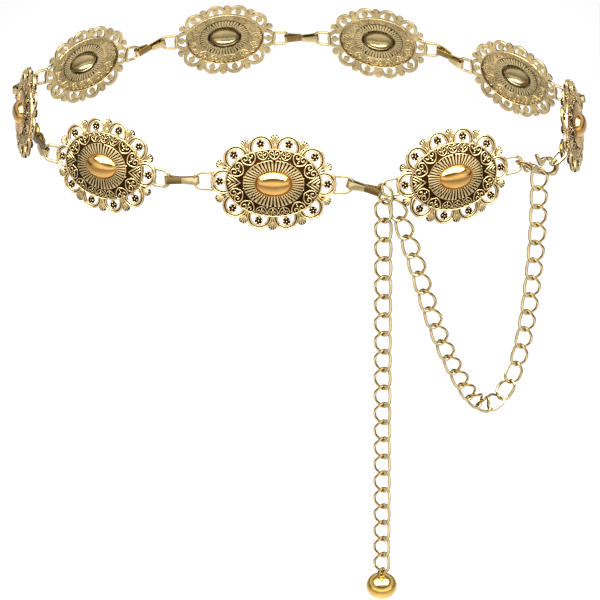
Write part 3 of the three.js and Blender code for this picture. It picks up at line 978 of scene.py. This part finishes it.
def flower():
    """The pierced flower in a scallop: petals round a dark star, a bead and two stems."""
    count = 40
    petals = add("circle", "petals", vertices=count, radius=1, fill_type="NOTHING")
    edit(petals)
    extrude(0, 0, 0)
    leave_all()
    for vertex in petals.data.vertices:
        inner = vertex.index >= count
        angle = math.atan2(vertex.co.y, vertex.co.x)
        turn = angle - math.pi / 2
        if inner:
            reach = 0.66 + 0.95 * max(1 - abs((turn / FULL_TURN * 5 + 0.5) % 1 - 0.5) * 3.2, 0)
        else:
            reach = 2.05 + 0.32 * math.cos(5 * turn)
        vertex.co = mm(*polar(reach, angle), 0)
    modify(petals, "SOLIDIFY", thickness=0.55 * MM, offset=0)
    outward(petals)
    round_edges(petals, 0.1 * MM, 2, 60)
    mark_wear(petals, by_normal)
    floor = shifted(add("cylinder", "floor", vertices=30, radius=1.95 * MM, depth=0.7 * MM), 0, 0, -0.62)
    mark_wear(floor, wear_rule(lambda forward: 0))
    bead = add("uv_sphere", "bead", segments=12, ring_count=8, radius=0.42 * MM)
    mark_wear(bead, lambda co, normal: (1, 0, 0))
    dots = []
    for k in range(5):
        dot = add("uv_sphere", "petal_dot", segments=10, ring_count=6, radius=0.36 * MM)
        shifted(dot, *polar(1.52, math.pi / 2 + (k + 0.5) / 5 * FULL_TURN), 0.2)
        dots.append(mark_wear(dot, by_normal))
    stems = []
    for low, high, half in ((-3.4, -1.8, 1.0), (1.9, 2.6, 0.5)):
        top = half * 0.7
        stem = outline_plate("stem", [(-half, low), (half, low), (top, high), (-top, high)], 0.8, 0.15)
        stems.append(mark_wear(shifted(stem, 0, 0, -0.45), by_normal))
    return join([petals, floor, bead, *dots, *stems], "flower")


def fan():
    """A ribbed fan between two scallops."""
    right = [(2.3, -0.3), (1.75, 1.4), (1.0, 2.8), (1.4, 4.3), (2.15, 5.5), (1.75, 6.4), (0.95, 6.9)]
    left = [(-x, y) for x, y in reversed(right)]
    plate = outline_plate("fan_plate", [left[-1], *right, (0, 7.05), *left[:-1]], 0.75, 0.12)
    mark_wear(shifted(plate, 0, 0, -0.72), wear_rule(lambda forward: 0.1))
    ribs = [plate]
    for degrees, length in ((-33, 3.9), (-16.5, 4.5), (0, 4.75), (16.5, 4.5), (33, 3.9)):
        angle = math.radians(degrees)
        points = [(math.sin(angle) * length * share, 2.15 + math.cos(angle) * length * share, lift)
                  for share, lift in ((0, -0.35), (0.35, -0.2), (0.7, -0.1), (0.93, -0.15), (1, -0.3))]
        rib = bent_wire("fan_rib", in_metres(points), 0.43 * MM, taper=[0.4, 0.65, 1.0, 0.9, 0.35])
        smooth(rib, 70)
        # Painted shade down the ribs' sides, bright where they face forward.
        ribs.append(mark_wear(rib, wear_rule(lambda forward: clamp(forward * 1.7), -0.6)))
    foot = bent_wire("fan_foot", in_metres([(0, -0.2, -0.45), (0, 1.2, -0.35), (0, 2.6, -0.35)]), 0.55 * MM,
                     taper=[1.2, 0.9, 0.5])
    ribs.append(mark_wear(foot, by_normal))
    return join(ribs, "fan")


def concho_plate():
    """One concho, joined from its medallion, scroll work, scallops and fans."""
    sizes = concho_sizes()
    parts = [medallion(), *scroll_work()]
    one_flower, one_fan = flower(), fan()
    for k, angle in enumerate(rim_angles(sizes.scallops * 2)):
        place, bend = rim_frame(angle)
        place = place @ Matrix.Rotation(BORDER_TILT, 4, "X")
        if k % 2 == 0:
            one_arch = arch(bend)
            one_arch.data.transform(place)
            parts.append(one_arch)
            flower_place = place @ Matrix.Translation(mm(0, FLOWER_MIDDLE, 0))
            parts.append(placed(one_flower, "flower_copy", flower_place))
        else:
            parts.append(placed(one_fan, "fan_copy", place))
    discard(one_flower, one_fan)
    return join(parts, "concho_master")


def end_loops():
    """The two wire loops behind a concho's long ends."""
    half = LOOP_HALF_HEIGHT
    lower = [(30.9, -half), (32.5, -half), (34.6, -half), (36.6, -half + 0.05), (37.9, -half + 0.6),
             (39.0, -2.9), (39.75, -1.6)]
    corners = [*lower, (LOOP_END, 0), *[(x, -y) for x, y in reversed(lower)], (30.6, 0)]
    loops = []
    for hand in (1, -1):
        path = flowing(in_metres([(hand * x, y, LOOP_DEPTH) for x, y in corners]), 3, closed=True)
        loops.append(bent_wire("end_loop", path, concho_sizes().loop_wire / 2, closed=True, sides=3))
    both = join(loops, "end_loops")
    smooth(both, 60)
    return mark_sides(both, 2)


class BELT_OT_conchos(bpy.types.Operator):
    """Builds the nine conchos with their end loops."""

    bl_idname = "belt.conchos"
    bl_label = "Conchos"

    def execute(self, context):
        plate, loops = concho_plate(), end_loops()
        for place in CONCHO_PLACES:
            name = place["name"]
            matrix = concho_frame(place)
            ride(placed(plate, f"plate_{name}", matrix), "belt", "antique_gold", material(stamped_gold),
                 f"concho_{name}")
            ride_wire(placed(loops, f"loops_{name}", matrix), "belt")
        discard(plate, loops)
        return {"FINISHED"}


# Hooks and ring

# Radii of the hooks' curls in mm, the thickness of their strip, how far past the middle its ends lie,
# and how much higher than its run it is at its curls
HOOK_CURL = 2.05
RING_HOOK_CURL = 2.6
STRIP_SHEET = 0.8 * MM
RUN_END = 0.9 * MM
CURL_FLARE = 1.3


def strip_hook(name, start, end, up, curl):
    """A strip bent into an S whose ends curl round two wires."""
    sizes = chain_sizes()
    along = end - start
    half = along.length / 2
    along.normalize()
    across = up.cross(along).normalized()
    height = along.cross(across)
    radius = curl * MM
    path = [(-RUN_END, -radius)]
    for middle, angles in ((-half, range(270, 89, -18)), (half, range(-90, 91, 18))):
        path += [polar(radius, math.radians(angle), middle) for angle in angles]
    path.append((RUN_END, radius))
    obj = add("plane", name, size=1)
    for vertex, (k, z) in zip(obj.data.vertices, ((0, -0.5), (1, -0.5), (0, 0.5), (1, 0.5))):
        vertex.co = (*path[k], z * sizes.strip_height)
    edit(obj)
    pick(obj, "edges", lambda edge: all((v.co.xy - Vector(path[1])).length < 1e-7 for v in edge.verts))
    for (ax, ay), (bx, by) in zip(path[1:], path[2:]):
        extrude(bx - ax, by - ay, 0)
    leave_all()
    modify(obj, "SOLIDIFY", thickness=STRIP_SHEET, offset=0)
    outward(obj)
    round_edges(obj, 0.16 * MM, 2, 60)

    def rule(co, normal):
        """Painted shadow along the slanting run between the curls and painted shade down the strip's edges;
        bright on the curls.
        """
        in_run = abs(co.x) < half + radius * 0.2 and abs(co.y + co.x / half * radius) < RUN_END
        return (0.3 if in_run else 1) * (1 - abs(normal.z)), 0, 0
    mark_wear(obj, rule)
    curl_start = half - radius * 1.3
    reshape(obj, lambda co: Vector((co.x, co.y, co.z * (CURL_FLARE if abs(co.x) > curl_start else 1))))
    obj.data.transform(axes_frame(along, across, height, (start + end) / 2))
    smooth(obj)
    return obj


class BELT_OT_hooks(bpy.types.Operator):
    """Builds the strip hooks and the large ring."""

    bl_idname = "belt.hooks"
    bl_label = "Hooks and ring"

    def execute(self, context):
        for k in range(7):
            near, far = CONCHO_PLACES[k]["name"], CONCHO_PLACES[k + 1]["name"]
            hook = strip_hook(f"strip_{near}_to_{far}", loop_end(k, -1), loop_end(k + 1, 1),
                              -(loop_up(k) + loop_up(k + 1)), HOOK_CURL)
            ride_wire(hook, "belt", f"hook_{near}_to_{far}")
        hook = strip_hook("strip_front_centre_to_ring", loop_end(FRONT_CENTRE, 1), ring_point(-90),
                          loop_up(FRONT_CENTRE) + UP, RING_HOOK_CURL)
        ride_wire(hook, "belt", "hook_front_centre_to_ring")
        along, across, centre = ring_axes()
        radius = chain_sizes().ring_radius
        ring = bent_ring("large_ring", radius, radius, 1.4 * MM, 56, 14)
        ring.data.transform(axes_frame(along, across, UP, centre))
        ride_wire(ring, "belt", "chain_ring")
        return {"FINISHED"}


# Chains

# Turn of a link from its middle to its end, how far its open side leans down, and the way that the
# open sides face in degrees, for the first and the last link
LINK_TWIST = math.radians(40)
LINK_LEAN = 0.55
TAIL_FACING = (-8, -2)
SWAG_FACING = (-22, -4)


def twisted_link(name, hand):
    """One link, its two ends nearly a quarter turn apart."""
    sizes = chain_sizes()
    link = bent_ring(name, sizes.half_length, sizes.half_width, sizes.wire)

    def rule(co):
        angle = hand * LINK_TWIST * co.z / sizes.half_length
        return Matrix.Rotation(angle, 3, "Z") @ co
    reshape(link, rule)
    return link


def chain_along(name, joints, facing, hand):
    """Links between neighbouring points of a route, joined into one piece."""
    link = twisted_link("link", hand)
    links = []
    for k, (start, end) in enumerate(zip(joints, joints[1:])):
        down = (end - start).normalized()
        turn = math.radians(facing[0] + (facing[1] - facing[0]) * (k / (len(joints) - 2)))
        back = Vector((-math.sin(turn), math.cos(turn), -LINK_LEAN))
        back = (back - down * back.dot(down)).normalized()
        up = -down
        links.append(placed(link, "link_copy", axes_frame(back.cross(up), back, up, (start + end) / 2)))
    discard(link)
    return join(links, name)


def curve_points(controls, count):
    """Evenly spaced points along a centripetal curve through the controls."""
    def tangent_point(p0, p1, p2, p3, t):
        d0, d1, d2 = (max((b - a).length ** 0.5, 1e-6) for a, b in ((p0, p1), (p1, p2), (p2, p3)))
        t1 = ((p1 - p0) / d0 - (p2 - p0) / (d0 + d1) + (p2 - p1) / d1) * d1
        t2 = ((p2 - p1) / d1 - (p3 - p1) / (d1 + d2) + (p3 - p2) / d2) * d1
        return (p1 + t1 * t + (-3 * p1 + 3 * p2 - 2 * t1 - t2) * t * t + (2 * p1 - 2 * p2 + t1 + t2) * t ** 3)
    padded = [2 * controls[0] - controls[1], *controls, 2 * controls[-1] - controls[-2]]
    fine = []
    for k in range(len(controls) - 1):
        fine += [tangent_point(*padded[k:k + 4], step / 60) for step in range(60)]
    fine.append(controls[-1])
    lengths = [0.0]
    for a, b in zip(fine, fine[1:]):
        lengths.append(lengths[-1] + (b - a).length)
    points = []
    k = 0
    for part in range(count):
        wanted = lengths[-1] * part / (count - 1)
        while k < len(fine) - 2 and lengths[k + 1] < wanted:
            k += 1
        share = (wanted - lengths[k]) / (lengths[k + 1] - lengths[k])
        points.append(fine[k].lerp(fine[k + 1], share))
    return points


# The tail: its length in mm from the ring's wire to the ball's wire, how far in mm a wire's middle
# lies from where it bears on the next, and the places of the ball and its collar under the bail
TAIL_LINKS = 21
TAIL_LENGTH = 229.51
SEAT = 0.775
BAIL_RADIUS = 2.4 * MM
BALL_SQUASH = 0.82
BALL_DROP = 6.7 * MM
COLLAR_RISE = 7.05 * MM


class BELT_OT_tail(bpy.types.Operator):
    """Builds the hanging chain and its ball."""

    bl_idname = "belt.tail"
    bl_label = "Tail chain and ball"

    def execute(self, context):
        sizes = chain_sizes()
        start = ring_point(TAIL_SEAT) + UP * (SEAT + 0.3) * MM
        overlap = sizes.half_length * 2 * TAIL_LINKS - (TAIL_LENGTH + 2 * SEAT) * MM
        pitch = sizes.half_length * 2 - overlap / (TAIL_LINKS - 1)
        top = start.z + SEAT * MM - sizes.half_length + pitch / 2
        joints = [Vector((start.x, start.y, top - pitch * k)) for k in range(TAIL_LINKS + 1)]
        chain = chain_along("tail_links", joints, TAIL_FACING, 1)
        ride_wire(chain, "tail", *[f"tail_chain_{k}" for k in range(1, 8)])

        end = Vector((start.x, start.y, start.z - TAIL_LENGTH * MM))
        bail_centre = end - UP * (BAIL_RADIUS - (SEAT + 0.25) * MM)
        bail = bent_ring("bail", BAIL_RADIUS, BAIL_RADIUS, sizes.wire, 36, 12)
        bail.data.transform(Matrix.Translation(bail_centre) @ Matrix.Rotation(math.radians(45), 4, "Z"))
        ball = add("uv_sphere", "ball", segments=64, ring_count=40, radius=sizes.ball_radius)
        edit(ball)
        bpy.ops.transform.resize(value=(1, 1, BALL_SQUASH), center_override=(0, 0, 0))
        leave_all()
        ball_centre = bail_centre - UP * (BAIL_RADIUS + BALL_DROP)
        ball.data.transform(Matrix.Translation(ball_centre))
        collar = add("torus", "collar", major_radius=1.5 * MM, minor_radius=0.45 * MM,
                     major_segments=32, minor_segments=10)
        collar.data.transform(Matrix.Translation(ball_centre + UP * COLLAR_RISE))
        for part in (ball, collar):
            smooth(part, 60)
        ride(join([ball, collar], "ball"), "ball", "polished_gold", material(polished_ball), "ball_with_ring")
        ride_wire(bail, "ball")
        return {"FINISHED"}


# Clasp and draped chain

# Places in mm: the clasp's two ends from the loops beside them, its eye, and on the clasp where the
# right joining link lies and where the draped chain hangs
CLASP_START = (4.9, 3.1, -3.8)
CLASP_END = (-1.4, -0.9, -8.2)
EYE_AT = -1.2
EYE_RADIUS = 2.2
HOOP_SEAT = (16.6, 4.1, 0)
SWAG_SEAT = (8.4, -3.5, 0)

# The draped chain: its links, and where on the front right concho's loop it hangs, in mm
SWAG_LINKS = 28
SWAG_HANGS = -33.2


def clasp_axes():
    """Frame of the clasp: X along it, Y up, with its eye's foot at the origin."""
    eye = loop_end(FRONT_RIGHT, 1) + mm(*CLASP_START)
    end = loop_end(SIDE_RIGHT, -1) + mm(*CLASP_END)
    along = (end - eye).normalized()
    across = UP.cross(along).normalized()
    up = along.cross(across)
    return axes_frame(along, up, along.cross(up), eye)


def small_link(name, start, end, margin, across):
    """A drawn-out ring round two wires."""
    along = end - start
    half = along.length / 2 + margin
    along.normalize()
    out = (across - along * across.dot(along)).normalized()
    link = bent_ring(name, half, 3.1 * MM, 1.55 * MM)
    link.data.transform(axes_frame(out, along.cross(out), along, (start + end) / 2))
    outward(link)
    smooth(link, 60)
    return link


class BELT_OT_clasp(bpy.types.Operator):
    """Builds the clasp and its two joining links."""

    bl_idname = "belt.clasp"
    bl_label = "Clasp"

    def execute(self, context):
        place = clasp_axes()
        hoop = mark_sides(outline_plate("hoop", CLASP_HOOP, 2.6, 0.5), 2)
        eye = bent_ring("eye", EYE_RADIUS * MM, EYE_RADIUS * MM, 1.45 * MM, 40, 12)
        eye.data.transform(Matrix.Translation(mm(EYE_AT, 0, 0)) @ Matrix.Rotation(math.pi / 2, 4, "X"))
        post = add("cylinder", "post", vertices=24, radius=0.85 * MM, depth=1.4 * MM)
        post.data.transform(Matrix.Translation(mm(1.3, 0, 0)) @ Matrix.Rotation(math.pi / 2, 4, "Y"))
        body = join([hoop, eye, mark_sides(post, 2)], "clasp_hoop")
        body.data.transform(place)
        smooth(body, 40)
        ride_wire(body, "belt", "clasp_body")
        lever = mark_sides(outline_plate("clasp_thumb_lever", CLASP_LEVER, 2.2, 0.4), 2)
        lever.data.transform(place)
        ride_wire(lever, "belt", "clasp_lever")

        near = loop_end(FRONT_RIGHT, 1)
        eye_centre = place @ mm(EYE_AT, 0, 0)
        gap = near - eye_centre
        eye_wire = eye_centre + gap.normalized() * EYE_RADIUS * MM
        link = small_link("joining_link_left", near, eye_wire, 2.1 * MM, gap.cross(loop_up(FRONT_RIGHT)))
        ride_wire(link, "belt", "link_to_clasp_eye")
        link = small_link("joining_link_right", loop_end(SIDE_RIGHT, -1), place @ mm(*HOOP_SEAT), 2.25 * MM,
                          place.to_3x3() @ UP)
        ride_wire(link, "belt", "link_to_side_right")
        return {"FINISHED"}


class BELT_OT_swag(bpy.types.Operator):
    """Builds the draped chain."""

    bl_idname = "belt.swag"
    bl_label = "Draped chain"

    def execute(self, context):
        start = loop_point(FRONT_RIGHT, SWAG_HANGS, -LOOP_HALF_HEIGHT) + UP * SEAT * MM
        end = clasp_axes() @ mm(*SWAG_SEAT)
        chord = (end - start).to_2d()
        length = chord.length
        chord.normalize()
        last = SWAG_ROUTE[-1]["along"]
        controls = []
        for row in SWAG_ROUTE:
            along = row["along"] / last * length
            back = row["back"] * MM
            controls.append(Vector((start.x + chord.x * along - chord.y * back,
                                    start.y + chord.y * along + chord.x * back, row["up"] * MM)))
        chain = chain_along("swag_links", curve_points(controls, SWAG_LINKS + 1), SWAG_FACING, -1)
        ride_wire(chain, "belt", *[f"swag_chain_{k}" for k in range(1, 8)])
        return {"FINISHED"}


# Stage

# The camera: its tilt and roll, its place in mm, its sensor in mm and its focal length in pixels
CAMERA_PITCH = math.radians(27.36)
CAMERA_ROLL = math.radians(-1.16)
CAMERA_AT = (2.1, -906.6, 346.1)
SENSOR = 36
FOCUS_PIXELS = 1717
IMAGE_PIXELS = 600
FLOOR_HEIGHT = -0.95

# Brightness of the sky from the horizon, 0, to straight up, 1
SKY = [(0.0, 0.06), (1.0, 0.3), (0.1, 0.1), (0.24, 0.45), (0.46, 0.45), (0.6, 0.12), (0.7, 0.1), (0.76, 0.25)]
FRONT_GLOW = 0.68


def soft_box(name, at, towards, size, power):
    """A rectangular light."""
    light = bpy.data.lights.new(name, "AREA")
    light.shape = "RECTANGLE"
    light.size, light.size_y = size
    light.energy = power
    obj = bpy.data.objects.new(name, light)
    obj.location = at
    obj.rotation_euler = (Vector(towards) - Vector(at)).to_track_quat("-Z", "Y").to_euler()
    bpy.context.scene.collection.objects.link(obj)


class BELT_OT_stage(bpy.types.Operator):
    """Builds the floor, the lights and the camera."""

    bl_idname = "belt.stage"
    bl_label = "Stage"

    def execute(self, context):
        floor = add("plane", "floor", size=30)
        edit(floor)
        bpy.ops.mesh.subdivide(number_cuts=4)
        bpy.ops.transform.translate(value=(0, 0, FLOOR_HEIGHT))
        leave_all()
        plain = Finish("plain_floor")
        floor.data.materials.append(plain.set(base_color=(0.64, 0.64, 0.64, 1), metallic=0.0, roughness=0.9))

        soft_box("ceiling", at=(0, -0.15, 0.75), towards=(0, -0.15, -1), size=(1.9, 0.9), power=52)
        soft_box("floor_behind", at=(0, 2.9, -0.2), towards=(0, 2.9, FLOOR_HEIGHT), size=(2.4, 3.4), power=20)

        world = bpy.data.worlds.new("studio")
        context.scene.world = world
        sky = Nodes(world)
        towards = sky.node("ShaderNodeTexCoord", {}, {}).outputs["Generated"]
        split = sky.node("ShaderNodeSeparateXYZ", {}, {0: towards})
        north, height = (Signal(sky, split.outputs[axis]) for axis in ("Y", "Z"))
        ramp = sky.node("ShaderNodeValToRGB", {}, {0: height})
        stops = ramp.color_ramp.elements
        for stop, (place, grey) in zip((stops[0], stops[1], *(stops.new(0.5) for _ in SKY[2:])), SKY):
            stop.position, stop.color = place, (grey, grey, grey, 1)
        level = 1 - height.math("ABSOLUTE", height).between(0.12, 0.45)
        glow = (0 - north).between(-0.1, 0.6) * level * FRONT_GLOW
        light = sky.node("ShaderNodeBackground", {}, {0: Signal(sky, ramp.outputs[0]) + glow, 1: 2.0})
        sky.node("ShaderNodeOutputWorld", {}, {0: light.outputs[0]})

        camera = bpy.data.objects.new("camera", bpy.data.cameras.new("camera"))
        turned = Matrix.Rotation(math.pi / 2 - CAMERA_PITCH, 4, "X") @ Matrix.Rotation(CAMERA_ROLL, 4, "Z")
        camera.matrix_world = Matrix.Translation(mm(*CAMERA_AT)) @ turned
        camera.data.sensor_width = SENSOR
        camera.data.lens = SENSOR * FOCUS_PIXELS / IMAGE_PIXELS
        camera.data.clip_start = 0.05
        context.scene.collection.objects.link(camera)
        context.scene.camera = camera
        context.scene.view_settings.view_transform = "Standard"
        return {"FINISHED"}


class BELT_PT_panel(bpy.types.Panel):
    """Lists the belt's pieces and sizes."""

    bl_label = "Concho chain belt"
    bl_idname = "BELT_PT_panel"
    bl_space_type = "VIEW_3D"
    bl_region_type = "UI"
    bl_category = "Belt"

    def draw(self, context):
        for group in (context.scene.concho_sizes, context.scene.chain_sizes, context.scene.finish_colours):
            box = self.layout.box()
            for name in group.__annotations__:
                box.prop(group, name)
        for operator in OPERATORS:
            self.layout.operator(operator.bl_idname)


OPERATORS = (BELT_OT_conchos, BELT_OT_hooks, BELT_OT_tail, BELT_OT_clasp, BELT_OT_swag, BELT_OT_stage)
GROUPS = {"concho_sizes": ConchoSizes, "chain_sizes": ChainSizes, "finish_colours": FinishColours}


def register():
    for group in GROUPS.values():
        bpy.utils.register_class(group)
    for name, group in GROUPS.items():
        setattr(bpy.types.Scene, name, bpy.props.PointerProperty(type=group))
    for operator in OPERATORS:
        bpy.utils.register_class(operator)
    bpy.utils.register_class(BELT_PT_panel)


def unregister():
    bpy.utils.unregister_class(BELT_PT_panel)
    for operator in reversed(OPERATORS):
        bpy.utils.unregister_class(operator)
    for name in GROUPS:
        delattr(bpy.types.Scene, name)
    for group in reversed(GROUPS.values()):
        bpy.utils.unregister_class(group)


def main():
    register()
    bpy.ops.belt.stage()
    bpy.ops.belt.conchos()
    bpy.ops.belt.hooks()
    bpy.ops.belt.tail()
    bpy.ops.belt.clasp()
    bpy.ops.belt.swag()


if __name__ == "__main__":
    main()
